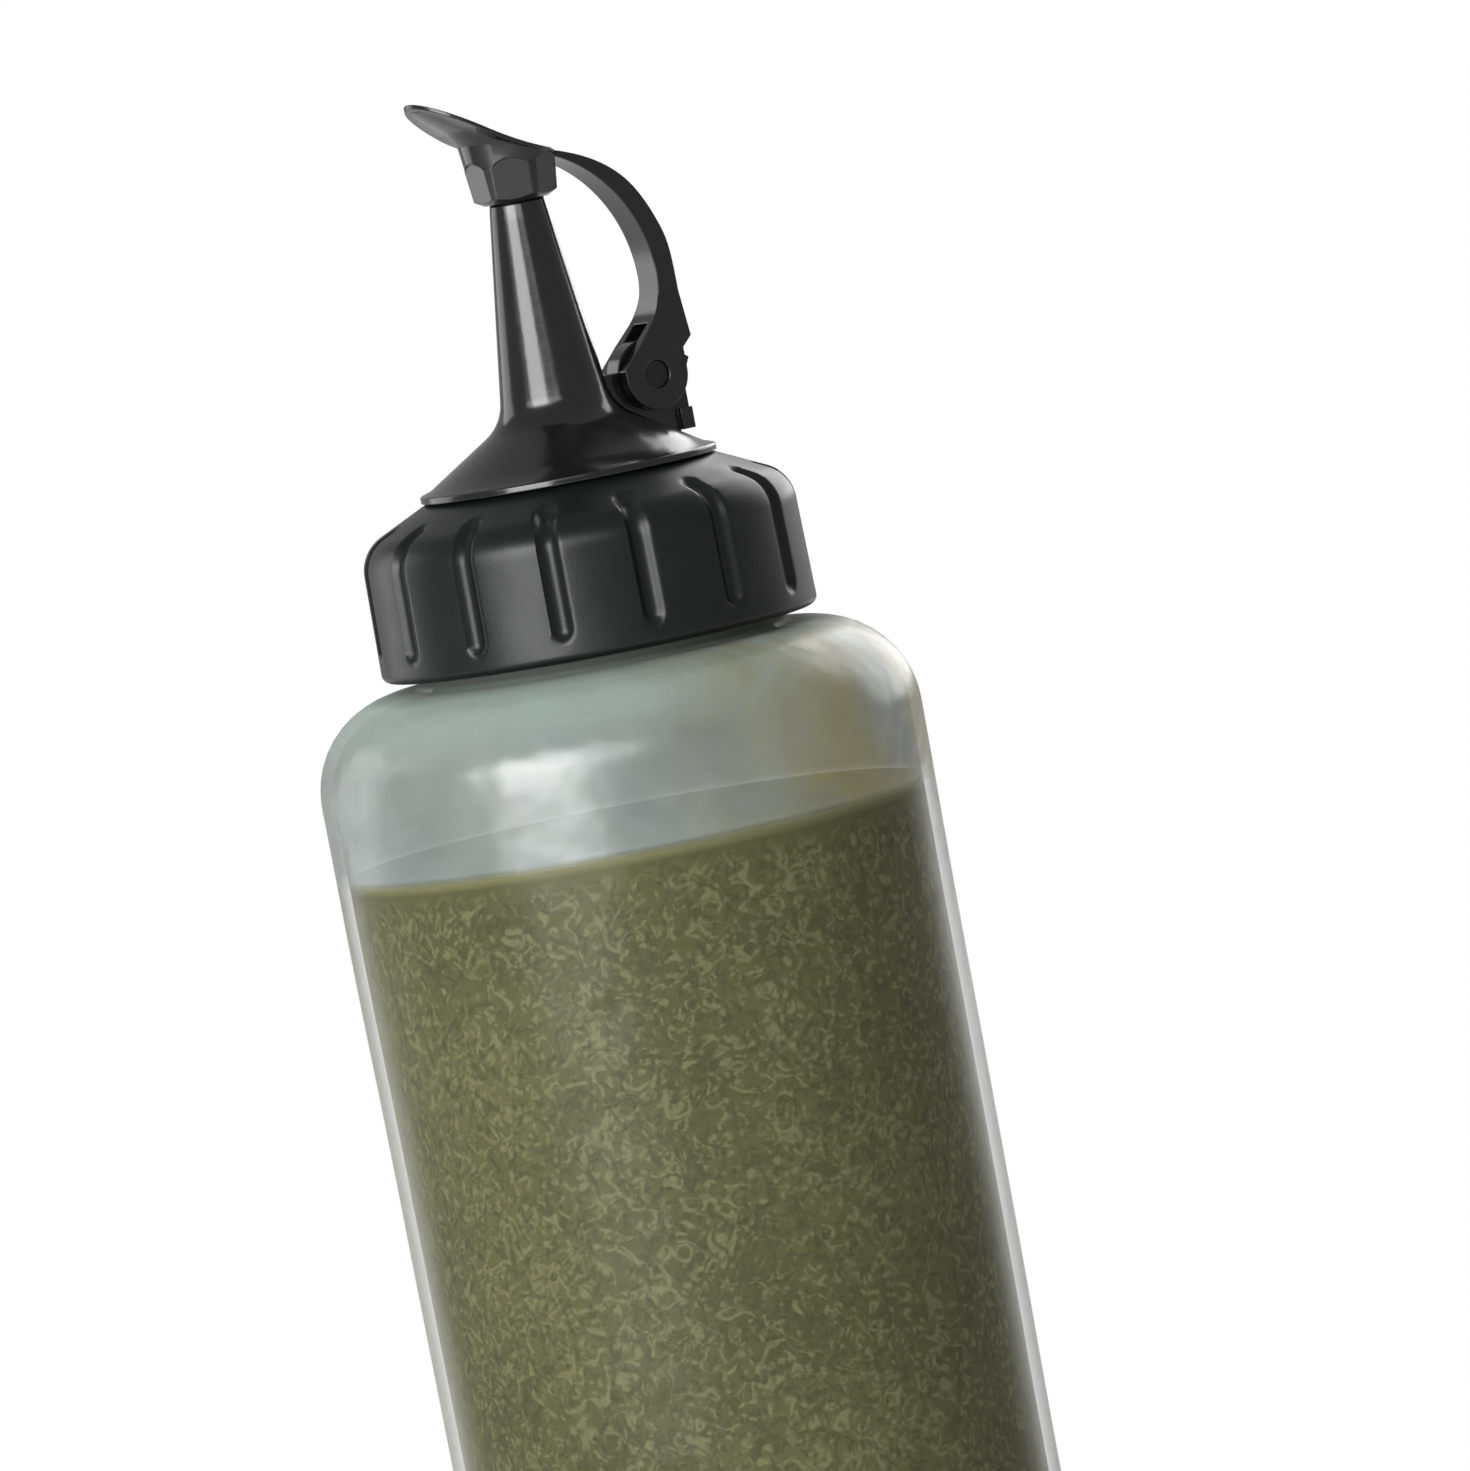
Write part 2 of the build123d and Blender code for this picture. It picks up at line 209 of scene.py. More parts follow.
# %% [markdown]
# ## Bottle
#
# A blow-moulded bottle has one even wall all round: the outline of the outside and the
# same outline drawn in by the wall. The body tapers slightly to its base corner, the
# shoulder is one broad round, and the base is domed up so that it stands on a ring.
# The wall of a soft bottle is never quite true. A few slow waves, about a tenth of a
# millimetre deep, are enough to break up the long highlights, so each point is moved
# along its radius by a sum of sines of its angle and height.

# %% Bottle
round_steps = 14                     # points on each round, and on the base's dome
body_turns = 160                     # columns round the bottle
body_step = 2.5 * mm                 # longest face along the outline
wave_depth = 0.12 * mm
still_foot = 6                       # mm of height that stay true
foot_fade, shoulder_fade = 20, 10    # mm over which the waves come and go


def body_profile(inset, bore, top):
    """Half outline of the bottle from its axis at the base to the neck, drawn in by inset."""
    ring = base_radius - base_round - foot_ring
    dome = np.linspace(0, 1, round_steps)[:, None] * np.array([[ring, 0.0]])
    dome[:, 1] = inset + push_up * (1 - (dome[:, 0] / ring) ** 2)
    rest = rounded_profile([
        (ring, inset), (base_radius - inset, inset, base_round - inset),
        (body_radius - inset, body_top - shoulder_round),
        (body_radius - inset, body_top - inset, shoulder_round - inset),
        (bore, body_top - inset, neck_root + inset), (bore, top)], round_steps)
    return divided(np.vstack([dome, rest[1:]]), body_step)


def unevenness(grid):
    """Slow waves of a soft wall: sines of angle and height, fading out at neck and base."""
    angle = np.arctan2(grid[..., 1], grid[..., 0])
    height = grid[..., 2] / mm
    waves = (np.sin(3 * angle + height / 9.0) * np.sin(height / 14.0 + 1.0)
             + 0.7 * np.sin(5 * angle - height / 7.0 + 2.0)
             + 0.5 * np.sin(2 * angle + height / 21.0 + 0.6))
    fade = (np.clip((height - still_foot) / foot_fade, 0, 1)
            * np.clip((body_top / mm - height) / shoulder_fade, 0, 1))
    return wave_depth * (waves / 2.2 - 0.5) * fade


def softened(grid):
    """The grid with every point moved along its radius by the wall's slow waves."""
    grid[..., :2] *= 1 + unevenness(grid)[..., None] / body_radius
    return grid


outer = body_profile(0, neck_radius, neck_top)
inner = body_profile(wall, neck_radius - neck_wall, neck_top)
both_skins = np.vstack([outer, inner[::-1]])
bottle_skin = surface("bottle_skin", softened(turned(both_skins, body_turns)))
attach(bottle_skin, "bottle_body")
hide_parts("bottle")
print("bottle faces:", len(bottle_skin.data.polygons))

# %% [markdown]
# ## Neck thread
#
# The collar's thread hides between neck and collar until it is unscrewed. A thread is a
# small trapezoid carried along a helix: as the angle grows by one turn, the height
# grows by one pitch. The same helper makes the neck's outer thread and the collar's
# inner one, half a pitch apart, so that they pass each other as the collar turns.

# %% Threads
pitch = 4.0 * mm
thread_low = body_top + 4.3 * mm
thread_height = 1.05 * mm
collar_crest = 20.55 * mm
flank = np.array([-0.5, -0.22, 0.22, 0.5])   # section's corners, in root widths
root_sink = 0.15 * mm                # how far the root lies inside its wall
run_out = radians(25)                # over which each end rises from the wall
steps_a_turn = 72
section_sharp = 30                   # degrees


def thread(name, root, crest, low, turns, width):
    """Trapezoid of a given root width on a helix: radius and height of four corners."""
    angle = np.linspace(0, 2 * pi * turns, int(steps_a_turn * turns))
    rise = low + pitch * angle / (2 * pi)
    fade = np.minimum(1, np.minimum(angle, angle[-1] - angle) / run_out)
    tip = root + (crest - root) * np.maximum(fade, 0.02)
    sunk = np.full_like(tip, root - root_sink * np.sign(crest - root))
    radius = np.stack([sunk, tip, tip, sunk], axis=1)
    turn = angle[:, None]
    grid = np.stack([radius * np.cos(turn), radius * np.sin(turn),
                     rise[:, None] + flank * width], axis=-1)
    if crest < root:
        grid = grid[:, ::-1]
    ribbon = surface(name, grid, section_sharp)
    cap_ends(ribbon)
    return ribbon


def cap_ends(ribbon):
    """Close the two open ends of a thread with one face of four corners each."""
    mesh = ribbon.data
    points = np.empty(len(mesh.vertices) * 3)
    mesh.vertices.foreach_get("co", points)
    faces = [tuple(face.vertices) for face in mesh.polygons]
    order = tuple(range(len(mesh.vertices)))
    faces += [order[:4][::-1], order[-4:]]
    mesh.clear_geometry()
    mesh.from_pydata(points.reshape(-1, 3).tolist(), [], faces)
    smooth_shaded(mesh, section_sharp)


neck_thread = thread("neck_thread", neck_radius, neck_radius + thread_height,
                     thread_low, 1.6, 1.7 * mm)
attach(neck_thread, "bottle_body")
collar_thread = thread("collar_thread", collar_bore, collar_crest,
                       thread_low + pitch / 2, 1.2, 1.5 * mm)
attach(collar_thread, "collar_body")
print("thread faces:", len(neck_thread.data.polygons), len(collar_thread.data.polygons))

# %% [markdown]
# ## Screw collar
#
# The collar is a turned form with grip flutes run up its side and over its crown.
# Each flute is the path of a ball: a trough with round ends. Here the whole collar is
# one grid. The profile gives radius and height, and near each flute a point sinks along
# the surface's own normal by how deep the ball reaches there. The distance to the
# flute's centre line is measured round the collar and, past its ends, along the profile.

# %% Collar's outline
foot_radius, foot_round = 23.9 * mm, 0.9 * mm
crown_radius, crown_round = 23.65 * mm, 4.3 * mm
crown_height = collar_base + 14.35 * mm
slope = radians(25.6)                # of the deck above the crown
land_radius = crown_radius - (collar_top - crown_height) / tan(slope)
land_round = 0.25 * mm
hole_radius = 15.05 * mm
flange = 1.5 * mm                    # the nozzle's, held under the deck
mouth_chamfer = 0.6 * mm
roof_chamfer = 1.0 * mm
fine_step, plain_step = 0.42 * mm, 4 * mm


def collar_profile():
    """Outside of the collar from its foot to the hole, then down the hole and bore."""
    mouth = (collar_bore + mouth_chamfer, collar_base)
    roof = gasket_top + flange
    outside = rounded_profile([
        mouth, (foot_radius, collar_base, foot_round),
        (crown_radius, crown_height, crown_round),
        (land_radius, collar_top, land_round), (hole_radius, collar_top)], steps=11)
    inside = np.array([
        (hole_radius, roof), (collar_bore - roof_chamfer, roof),
        (collar_bore, roof - roof_chamfer), (collar_bore, collar_base + mouth_chamfer), mouth])
    return divided(outside, fine_step), divided(inside, plain_step)


outside, inside = collar_profile()
print("collar outline:", len(outside), "points outside,", len(inside), "inside")

# %% Screw collar
flutes = 15
flute_turn = radians(9.7 - 90)       # of the first flute
ball = 1.3 * mm
flute_depth = 0.75 * mm
flute_low = collar_base + 3.5 * mm   # height of the lower end's centre
flute_reach = 20.3 * mm              # radius of the upper end's centre
rim_softness = 0.10 * mm
columns = flutes * 34


def ball_depth(distance):
    """How deep a ball path cuts at a distance from its centre line, with a soft rim."""
    sunk = ball - flute_depth
    within = np.sqrt(np.clip(ball ** 2 - distance ** 2, 0, None)) - sunk
    beside = np.sqrt(ball ** 2 - sunk ** 2) - distance
    reach = np.where(distance < ball, within, beside)
    soft = 0.5 * (reach + np.sqrt(reach ** 2 + rim_softness ** 2))
    return soft * (reach > -6 * rim_softness)


grid = turned(outside, columns)
run = np.concatenate([[0], np.cumsum(np.linalg.norm(np.diff(outside, axis=0), axis=1))])
start = np.interp(flute_low, outside[:, 1], run)
deck = outside[:, 1] > crown_height - crown_round
end = np.interp(-flute_reach, -outside[deck, 0], run[deck])
angle = np.arctan2(grid[..., 1], grid[..., 0]) - flute_turn
spread = 2 * pi / flutes
sideways = np.abs((angle + spread / 2) % spread - spread / 2) * outside[:, 0, None]
past = np.maximum(0, np.maximum(start - run, run - end))[:, None]
depth = ball_depth(np.hypot(sideways, past))
along = np.gradient(outside, axis=0)
along /= np.linalg.norm(along, axis=1)[:, None]
normal = np.stack([along[:, 1], -along[:, 0]], axis=1)
direction = grid[..., :2] / np.linalg.norm(grid[..., :2], axis=-1)[..., None]
grid[..., :2] -= direction * (depth * normal[:, 0, None])[..., None]
grid[..., 2] -= depth * normal[:, 1, None]
collar_grid = np.concatenate([grid, turned(inside, columns)])
collar_shell = surface("collar_shell", collar_grid, sharp_degrees=40)
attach(collar_shell, "collar_body")
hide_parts("screw_collar")
print("collar faces:", len(collar_shell.data.polygons))

# %% [markdown]
# ## Sauce
#
# The sauce fills the body to its level and lies against the wall, so its outline is the
# wall's inside outline, drawn in by a hair so that the two skins never cross. Where its
# top meets the wall it climbs a little, as a thick sauce does, which gives the level a
# small raised rim. It takes the wall's own slow waves, so it never pokes through it.

# %% Sauce
hair = 0.05 * mm
rim_rise, rim_width = 1.0 * mm, 2.2 * mm
sauce_radius = body_radius - wall - hair
sauce_profile = body_profile(wall + hair, neck_radius - neck_wall, neck_top)
below = sauce_profile[sauce_profile[:, 1] < fill_level - 1.2 * rim_rise]
climb = np.linspace(0, 1, 9)[:, None]
rim = np.hstack([sauce_radius - rim_width * climb,
                 fill_level - rim_rise * (1 - (1 - climb) ** 3)])
top = np.array([[sauce_radius / 2, fill_level - rim_rise], [0, fill_level - rim_rise]])
sauce_outline = divided(np.vstack([below, rim, top]), body_step)
sauce_grid = softened(turned(sauce_outline, body_turns))
sauce_fill = surface("sauce_fill", sauce_grid, sharp_degrees=60)
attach(sauce_fill, "bottle_body")
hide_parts("sauce")
print("sauce faces:", len(sauce_fill.data.polygons))

# %% [markdown]
# ## Moulded black pieces
#
# Nozzle, cap, pin and the two hidden seals keep the shape they have in the frame. Their
# meshes come as loose triangles with hard faces, so each gets a copy: the copy's points
# are merged and its round faces shaded smooth. Faces that meet at more than a set angle
# keep a sharp edge between them. The cap's hood has twelve shallow facets, so its angle
# is smaller. The copy stands for its node.

# %% Copies of the moulded pieces
def moulded_copy(node, body, sharp_degrees=28):
    """Merged copy of a node's triangles, without their hard normals, smooth over rounds."""
    source = nodes[node].data
    points = np.empty(len(source.vertices) * 3)
    source.vertices.foreach_get("co", points)
    corners = np.empty(len(source.loops), dtype=np.int32)
    source.loops.foreach_get("vertex_index", corners)
    mesh = bpy.data.meshes.new(node + "_moulded")
    mesh.from_pydata(points.reshape(-1, 3).tolist(), [], corners.reshape(-1, 3).tolist())
    piece = finished(node + "_moulded", mesh, sharp_degrees)
    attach(piece, body)
    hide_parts(node)
    return piece


nozzle = moulded_copy("nozzle", "nozzle_body")
flip_cap = moulded_copy("flip_cap", "cap_body", sharp_degrees=24)
hinge_pin = moulded_copy("hinge_pin", "nozzle_body")
tip_seal = moulded_copy("tip_seal", "cap_body")
neck_gasket = moulded_copy("neck_gasket", "nozzle_body")
print("nozzle and cap faces:", len(nozzle.data.polygons), len(flip_cap.data.polygons))

# %% [markdown]
# ## Shared effects
#
# Two effects serve most of the finishes. Mould grain is a fine noise for the bump of a
# plastic, with a slower wave under it. Handling marks are faint patches where fingers
# have dulled the gloss. Each is a node group, made once, with its scales as inputs.

# %% Node groups
def new_group(name, inputs, outputs):
    """Empty shader group with named float inputs and typed outputs."""
    group = bpy.data.node_groups.new(name, "ShaderNodeTree")
    for label, value in inputs.items():
        socket = group.interface.new_socket(
            label, in_out="INPUT", socket_type="NodeSocketFloat")
        socket.default_value = value
    for label, kind in outputs.items():
        group.interface.new_socket(label, in_out="OUTPUT", socket_type=kind)
    return group, group.nodes.new("NodeGroupInput"), group.nodes.new("NodeGroupOutput")


def maths(tree, operation, first, second):
    """One Math node whose inputs are sockets or numbers."""
    node = tree.nodes.new("ShaderNodeMath")
    node.operation = operation
    for socket, value in zip(node.inputs, (first, second)):
        if isinstance(value, (int, float)):
            socket.default_value = value
        else:
            tree.links.new(value, socket)
    return node.outputs[0]


def noise(tree, scale, detail=3.0, roughness=0.5, distortion=0.0):
    """Noise Texture on the object's own coordinates."""
    where = tree.nodes.new("ShaderNodeTexCoord").outputs["Object"]
    node = tree.nodes.new("ShaderNodeTexNoise")
    node.inputs["Detail"].default_value = detail
    node.inputs["Roughness"].default_value = roughness
    node.inputs["Distortion"].default_value = distortion
    tree.links.new(where, node.inputs["Vector"])
    if isinstance(scale, (int, float)):
        node.inputs["Scale"].default_value = scale
    else:
        tree.links.new(scale, node.inputs["Scale"])
    return node.outputs["Fac"]


def ramp(tree, value, low, high, to_low=0.0, to_high=1.0):
    """Map Range that spreads low..high over to_low..to_high, and clamps."""
    node = tree.nodes.new("ShaderNodeMapRange")
    for label, number in (("From Min", low), ("From Max", high),
                          ("To Min", to_low), ("To Max", to_high)):
        node.inputs[label].default_value = number
    tree.links.new(value, node.inputs["Value"])
    return node.outputs["Result"]


mould_grain, given, put = new_group(
    "mould_grain", {"Grain Scale": 4000.0, "Wave Scale": 120.0, "Wave Share": 0.5},
    {"Height": "NodeSocketFloat"})
fine = noise(mould_grain, given.outputs["Grain Scale"], detail=2.0)
slow = noise(mould_grain, given.outputs["Wave Scale"], detail=1.0)
wave = maths(mould_grain, "MULTIPLY", slow, given.outputs["Wave Share"])
mould_grain.links.new(maths(mould_grain, "ADD", fine, wave), put.inputs["Height"])

handling, given, put = new_group(
    "handling", {"Patch Scale": 90.0, "Amount": 0.1, "Base Roughness": 0.3},
    {"Roughness": "NodeSocketFloat"})
patches = noise(handling, given.outputs["Patch Scale"], detail=4.0, roughness=0.6)
patches = ramp(handling, patches, 0.45, 0.75)
dulled = maths(handling, "MULTIPLY", patches, given.outputs["Amount"])
handling.links.new(maths(handling, "ADD", given.outputs["Base Roughness"], dulled),
                   put.inputs["Roughness"])
print("groups:", mould_grain.name, handling.name)

# %% [markdown]
# ## Building a finish
#
# Each finish is one Principled shader. A value that is the same all over sits on the
# shader's own socket, and only what changes over the surface is linked: a group's
# output, a mix of two colours, or a bump.

# %% Finish helpers
def use_group(tree, group, **values):
    """Place a group in a material with its own values."""
    node = tree.nodes.new("ShaderNodeGroup")
    node.node_tree = group
    for label, number in values.items():
        node.inputs[label.replace("_", " ")].default_value = number
    return node.outputs[0]


def new_finish(name, **constants):
    """Material with one Principled BSDF whose plain values are set on its sockets."""
    finish = bpy.data.materials.new(name)
    finish.use_nodes = True
    shader = finish.node_tree.nodes["Principled BSDF"]
    for label, value in constants.items():
        shader.inputs[label.replace("_", " ")].default_value = value
    return finish, finish.node_tree, shader


def bump(tree, shader, height, distance, edge_round=0.0):
    """Bump node from a height socket into the shader's normal, over rounded edges."""
    node = tree.nodes.new("ShaderNodeBump")
    node.inputs["Distance"].default_value = distance
    tree.links.new(height, node.inputs["Height"])
    if edge_round:
        rounded = tree.nodes.new("ShaderNodeBevel")
        rounded.samples = 8
        rounded.inputs["Radius"].default_value = edge_round
        tree.links.new(rounded.outputs["Normal"], node.inputs["Normal"])
    tree.links.new(node.outputs["Normal"], shader.inputs["Normal"])


def colour_mix(tree, factor, first, second):
    """Mix of two colours, each a socket or a tuple, by a factor socket."""
    node = tree.nodes.new("ShaderNodeMix")
    node.data_type = "RGBA"
    tree.links.new(factor, node.inputs["Factor"])
    for socket, value in ((node.inputs[6], first), (node.inputs[7], second)):
        if isinstance(value, tuple):
            socket.default_value = value + (1.0,)
        else:
            tree.links.new(value, socket)
    return node.outputs[2]


# %% [markdown]
# ## Black plastics
#
# The nozzle and cap are polished in the mould and keep narrow bright highlights. A
# mould never leaves a knife edge, so the gloss black reads its normals through a Bevel
# node, which rounds each edge by a fifth of a millimetre and lets it catch the light.
# The collar comes from a blasted mould and is satin: the same black with more roughness
# and a fine grain in its bump.

# %% Gloss and satin black
gloss_black, tree, shader = new_finish(
    "gloss_black", Base_Color=(0.004, 0.0045, 0.004, 1), IOR=1.5)
marks = use_group(tree, handling, Patch_Scale=260.0, Amount=0.06, Base_Roughness=0.16)
tree.links.new(marks, shader.inputs["Roughness"])
grain = use_group(tree, mould_grain, Grain_Scale=2600.0, Wave_Scale=420.0, Wave_Share=2.0)
bump(tree, shader, grain, 0.006 * mm, edge_round=0.22 * mm)

satin_black, tree, shader = new_finish(
    "satin_black", Base_Color=(0.004, 0.0044, 0.0046, 1), IOR=1.34)
marks = use_group(tree, handling, Patch_Scale=180.0, Amount=0.08, Base_Roughness=0.32)
tree.links.new(marks, shader.inputs["Roughness"])
grain = use_group(tree, mould_grain, Grain_Scale=3800.0, Wave_Scale=300.0, Wave_Share=0.6)
bump(tree, shader, grain, 0.012 * mm)

pin_black, tree, shader = new_finish(
    "pin_black", Base_Color=(0.004, 0.004, 0.004, 1), IOR=1.4)
marks = use_group(tree, handling, Patch_Scale=700.0, Amount=0.12, Base_Roughness=0.25)
tree.links.new(marks, shader.inputs["Roughness"])

# %% [markdown]
# ## Milky plastic
#
# The bottle's wall scatters light as it lets it through. A plain way to say so is alpha:
# the wall is a pale, slightly rough surface that hides part of what is behind it. Seen
# edge on, light crosses more of it, so alpha rises with the angle of view. Against the
# sauce the wall is wet and nearly clear, and above the level it is misted and smeared
# inside, so alpha also rises with height there, and thin olive smears tint it, mostly
# on one side. The surface has a faint orange peel from the blowing, which gives the
# big highlight soft edges, and the root of the neck is dull.

# %% Shares of place
def axis_share(tree, axis, low, high):
    """0 below one place on an axis, 1 above another, on the object's own coordinates."""
    split = tree.nodes.new("ShaderNodeSeparateXYZ")
    tree.links.new(tree.nodes.new("ShaderNodeTexCoord").outputs["Object"], split.inputs[0])
    return ramp(tree, split.outputs[axis], low, high)


def height_share(tree, low, high):
    """0 below one height, 1 above another."""
    return axis_share(tree, "Z", low, high)


# %% Milky wall
thin_haze, thick_haze = (0.105, 0.130, 0.135), (0.185, 0.218, 0.208)
shoulder_haze = (0.300, 0.380, 0.350)
olive_smear = (0.205, 0.190, 0.085)
wet_haze = (0.150, 0.155, 0.105)
# painted shade: the dark colour of the neck wall, standing in for the shadow inside the collar
painted_neck_shade = (0.060, 0.068, 0.060)
gloss_roughness, neck_roughness = 0.27, 0.8

milky, tree, shader = new_finish("milky_wall", IOR=1.75)
misted = height_share(tree, fill_level - 0.4 * mm, fill_level + 0.6 * mm)
shoulder = height_share(tree, body_top - 7.5 * mm, body_top - 1.0 * mm)
dull = height_share(tree, body_top - 1.5 * mm, body_top)
# Painted shade: from just under the shoulder's top up into the neck, the wall is painted dark
# and made opaque, so the gap under the collar shows as shadow
neck_painted_shade = height_share(tree, body_top - 0.8 * mm, body_top + 0.6 * mm)

clouds = ramp(tree, noise(tree, 55.0, detail=4.0, roughness=0.6), 0.35, 0.7)
smears = noise(tree, 48.0, detail=5.0, roughness=0.65, distortion=0.8)
smears = ramp(tree, smears, 0.36, 0.56)
smeared_side = axis_share(tree, "X", -12 * mm, 8 * mm)
smears = maths(tree, "MULTIPLY", maths(tree, "ADD", smeared_side, 0.15), smears)
haze = colour_mix(tree, clouds, thin_haze, thick_haze)
haze = colour_mix(tree, shoulder, haze, shoulder_haze)
haze = colour_mix(tree, smears, haze, olive_smear)
haze = colour_mix(tree, misted, wet_haze, haze)
# painted shade on the neck, under the collar
haze = colour_mix(tree, neck_painted_shade, haze, painted_neck_shade)
tree.links.new(haze, shader.inputs["Base Color"])
tree.links.new(ramp(tree, dull, 0.0, 1.0, gloss_roughness, neck_roughness),
               shader.inputs["Roughness"])
grain = use_group(tree, mould_grain, Grain_Scale=600.0, Wave_Scale=190.0, Wave_Share=9.0)
bump(tree, shader, grain, 0.03 * mm)

# %% How much the wall hides
wet_face, wet_edge = 0.06, 0.70      # alpha against the sauce, face on and edge on
mist_face, mist_edge = 0.62, 0.88    # alpha above its level

facing = tree.nodes.new("ShaderNodeLayerWeight")
facing.inputs["Blend"].default_value = 0.25
edge_on = ramp(tree, facing.outputs["Facing"], 0.37, 0.66)
wet_alpha = ramp(tree, edge_on, 0.0, 1.0, wet_face, wet_edge)
mist_alpha = ramp(tree, edge_on, 0.0, 1.0, mist_face, mist_edge)
above = maths(tree, "MULTIPLY", mist_alpha, misted)
below = maths(tree, "MULTIPLY", wet_alpha, maths(tree, "SUBTRACT", 1.0, misted))
# the neck's painted shade also makes the wall there fully opaque
alpha = maths(tree, "MAXIMUM", maths(tree, "ADD", above, below), neck_painted_shade)
tree.links.new(alpha, shader.inputs["Alpha"])

# %% [markdown]
# ## Herbs in the sauce
#
# The sauce is thick with chopped herbs. Its colour is three layers: an olive base with
# slow cloudy changes, light curled flecks from a distorted noise cut at a threshold, and
# dark flecks from another, which also feed a shallow bump. Its raised rim is a thin
# film and shows lighter. It lies wet against the wall with no air between, so it hardly
# shines itself and its index of refraction is low.

# %% Herb sauce
deep_olive, pale_olive = (0.046, 0.046, 0.014), (0.063, 0.063, 0.021)
light_herb, dark_herb = (0.150, 0.150, 0.072), (0.026, 0.029, 0.010)
rim_film = (0.200, 0.200, 0.090)

herb_sauce, tree, shader = new_finish("herb_sauce", IOR=1.15, Roughness=0.6)
cloud = ramp(tree, noise(tree, 45.0, detail=3.0), 0.35, 0.65)
below_top = height_share(tree, fill_level - 1.2 * mm, fill_level - 3.5 * mm)
dark = noise(tree, 560.0, detail=3.0, roughness=0.55, distortion=1.6)
dark = maths(tree, "MULTIPLY", ramp(tree, dark, 0.50, 0.60), below_top)
light = noise(tree, 480.0, detail=2.0, roughness=0.5, distortion=2.2)
light = maths(tree, "MULTIPLY", ramp(tree, light, 0.50, 0.62), below_top)
at_rim = height_share(tree, fill_level - 1.3 * mm, fill_level - 0.5 * mm)
colour = colour_mix(tree, cloud, deep_olive, pale_olive)
colour = colour_mix(tree, maths(tree, "MULTIPLY", light, 0.52), colour, light_herb)
colour = colour_mix(tree, maths(tree, "MULTIPLY", dark, 0.60), colour, dark_herb)
colour = colour_mix(tree, maths(tree, "MULTIPLY", at_rim, 0.5), colour, rim_film)
tree.links.new(colour, shader.inputs["Base Color"])
bump(tree, shader, dark, 0.05 * mm)

# %% [markdown]
# ## Seals
#
# The gasket is a pale closed-cell foam and the tip seal a soft rubber. Both show only
# when the bottle is opened, and still get their own fine texture.

# %% Foam and rubber
def speckled(name, roughness, scale, detail, first, second, depth):
    """Finish of two mixed colours and a bump, both from one fine noise."""
    finish, tree, shader = new_finish(name, Roughness=roughness)
    specks = noise(tree, scale, detail)
    colour = colour_mix(tree, ramp(tree, specks, 0.3, 0.7), first, second)
    tree.links.new(colour, shader.inputs["Base Color"])
    bump(tree, shader, specks, depth)
    return finish


pale_foam = speckled("pale_foam", 0.8, 3000.0, 2.0,
                     (0.60, 0.60, 0.55), (0.72, 0.72, 0.68), 0.04 * mm)
soft_rubber = speckled("soft_rubber", 0.6, 1500.0, 3.0,
                       (0.40, 0.40, 0.37), (0.50, 0.50, 0.47), 0.01 * mm)

# %% Finish of each piece
finishes = {
    bottle_skin: milky, neck_thread: milky, sauce_fill: herb_sauce,
    collar_shell: satin_black, collar_thread: satin_black,
    nozzle: gloss_black, flip_cap: gloss_black, hinge_pin: pin_black,
    tip_seal: soft_rubber, neck_gasket: pale_foam}
for piece, finish in finishes.items():
    piece.data.materials.clear()
    piece.data.materials.append(finish)
print({piece.name: finish.name for piece, finish in finishes.items()})

# %% [markdown]
# ## Floor
#
# A plain pale floor carries the bottle. It is one round face, a hair under the foot.
# The camera sees it fade to the white of the background a hand's breadth away from the
# bottle, while its shadow near the foot stays.

# %% Floor
floor_radius = 1.2
floor_gap = 0.2 * mm
floor_sides = 96
fade_start, fade_end = 0.08, 0.17    # metres from the axis

turn = np.linspace(0, 2 * pi, floor_sides, endpoint=False)
floor_points = np.stack([floor_radius * np.cos(turn), floor_radius * np.sin(turn),
                         np.full(floor_sides, -floor_gap)], axis=1)
floor_mesh = bpy.data.meshes.new("floor")
floor_mesh.from_pydata(floor_points.tolist(), [], [tuple(range(floor_sides))])
floor = bpy.data.objects.new("floor", floor_mesh)
bpy.context.scene.collection.objects.link(floor)
floor_finish, tree, shader = new_finish(
    "pale_floor", Base_Color=(0.8, 0.8, 0.8, 1), Roughness=0.7)
from_middle = tree.nodes.new("ShaderNodeVectorMath")
from_middle.operation = "LENGTH"
tree.links.new(tree.nodes.new("ShaderNodeTexCoord").outputs["Object"], from_middle.inputs[0])
path = tree.nodes.new("ShaderNodeLightPath")
far_white = maths(tree, "MULTIPLY", path.outputs["Is Camera Ray"],
                  ramp(tree, from_middle.outputs["Value"], fade_start, fade_end))
white = tree.nodes.new("ShaderNodeEmission")
blend = tree.nodes.new("ShaderNodeMixShader")
tree.links.new(far_white, blend.inputs[0])
tree.links.new(shader.outputs[0], blend.inputs[1])
tree.links.new(white.outputs[0], blend.inputs[2])
tree.links.new(blend.outputs[0], tree.nodes["Material Output"].inputs["Surface"])
floor_mesh.materials.append(floor_finish)

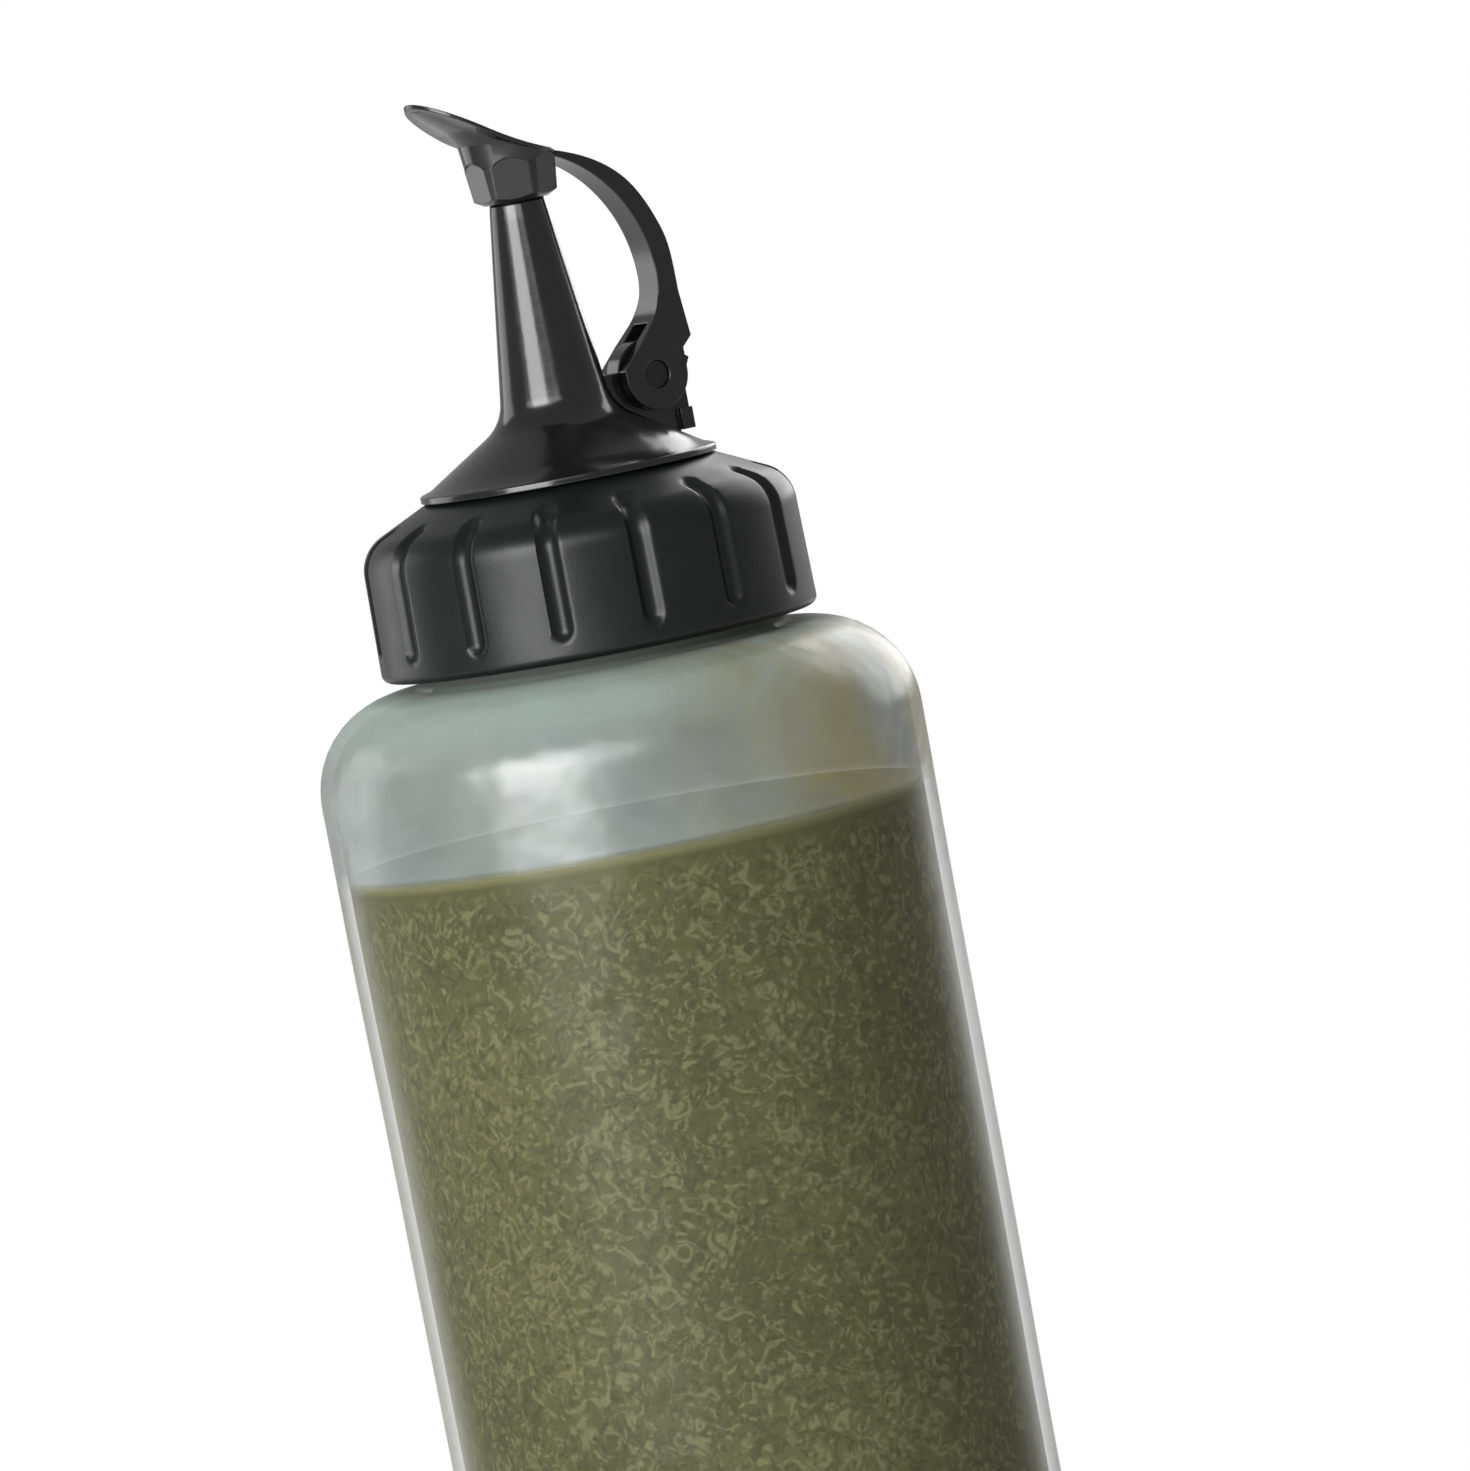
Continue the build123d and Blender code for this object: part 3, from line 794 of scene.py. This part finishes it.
# %% [markdown]
# ## Light and background
#
# Four softboxes light the bottle. The key at the left front draws the strip on the
# spout and the patch on the shoulder, and a wide flat one just above it stretches that
# patch sideways. A tall one behind the left edge draws that outline, and a broad one
# at the right lights the far side. The background is white to the camera, but far
# dimmer in reflections and as a light.

# %% Softboxes
aimed_at = np.array([0, 0, 0.12])    # the bottle's upper half


def softbox(name, azimuth, elevation, distance, width, height, power):
    """Area light that looks at the bottle from a direction, in degrees, metres and watts."""
    data = bpy.data.lights.new(name, "AREA")
    data.shape = "RECTANGLE"
    data.size, data.size_y, data.energy = width, height, power
    light = bpy.data.objects.new(name, data)
    bpy.context.scene.collection.objects.link(light)
    a, e = radians(azimuth), radians(elevation)
    back = np.array([sin(a) * cos(e), -cos(a) * cos(e), sin(e)])
    side = np.array([cos(a), sin(a), 0.0])
    matrix = np.eye(4)
    matrix[:3, 0], matrix[:3, 1], matrix[:3, 2] = side, np.cross(back, side), back
    matrix[:3, 3] = aimed_at + distance * back
    light.matrix_world = Matrix(matrix.tolist())
    light.visible_camera = False


softbox("key_left", -61, 13, 0.9, 0.56, 0.62, 10.6)
softbox("rim_left", -150, 6, 1.0, 0.6, 0.9, 3.2)
softbox("fill_right", 115, 22, 1.3, 1.1, 1.0, 10)
softbox("front_top", -54, 26, 1.1, 1.5, 0.3, 6)

# %% Background
room_light = 0.35                    # strength of the background as a light
room_gloss = 0.10                    # how far reflections see it as white

world = bpy.data.worlds.new("studio")
bpy.context.scene.world = world
world.use_nodes = True
tree = world.node_tree
background = tree.nodes["Background"]
path = tree.nodes.new("ShaderNodeLightPath")
seen = maths(tree, "MAXIMUM", path.outputs["Is Camera Ray"],
             path.outputs["Is Transmission Ray"])
mirrored = maths(tree, "MULTIPLY", path.outputs["Is Glossy Ray"], room_gloss)
white_share = maths(tree, "MAXIMUM", seen, mirrored)
tree.links.new(ramp(tree, white_share, 0.0, 1.0, room_light, 1.0),
               background.inputs["Strength"])
background.inputs["Color"].default_value = (1, 1, 1, 1)
bpy.context.scene.view_settings.view_transform = "Standard"
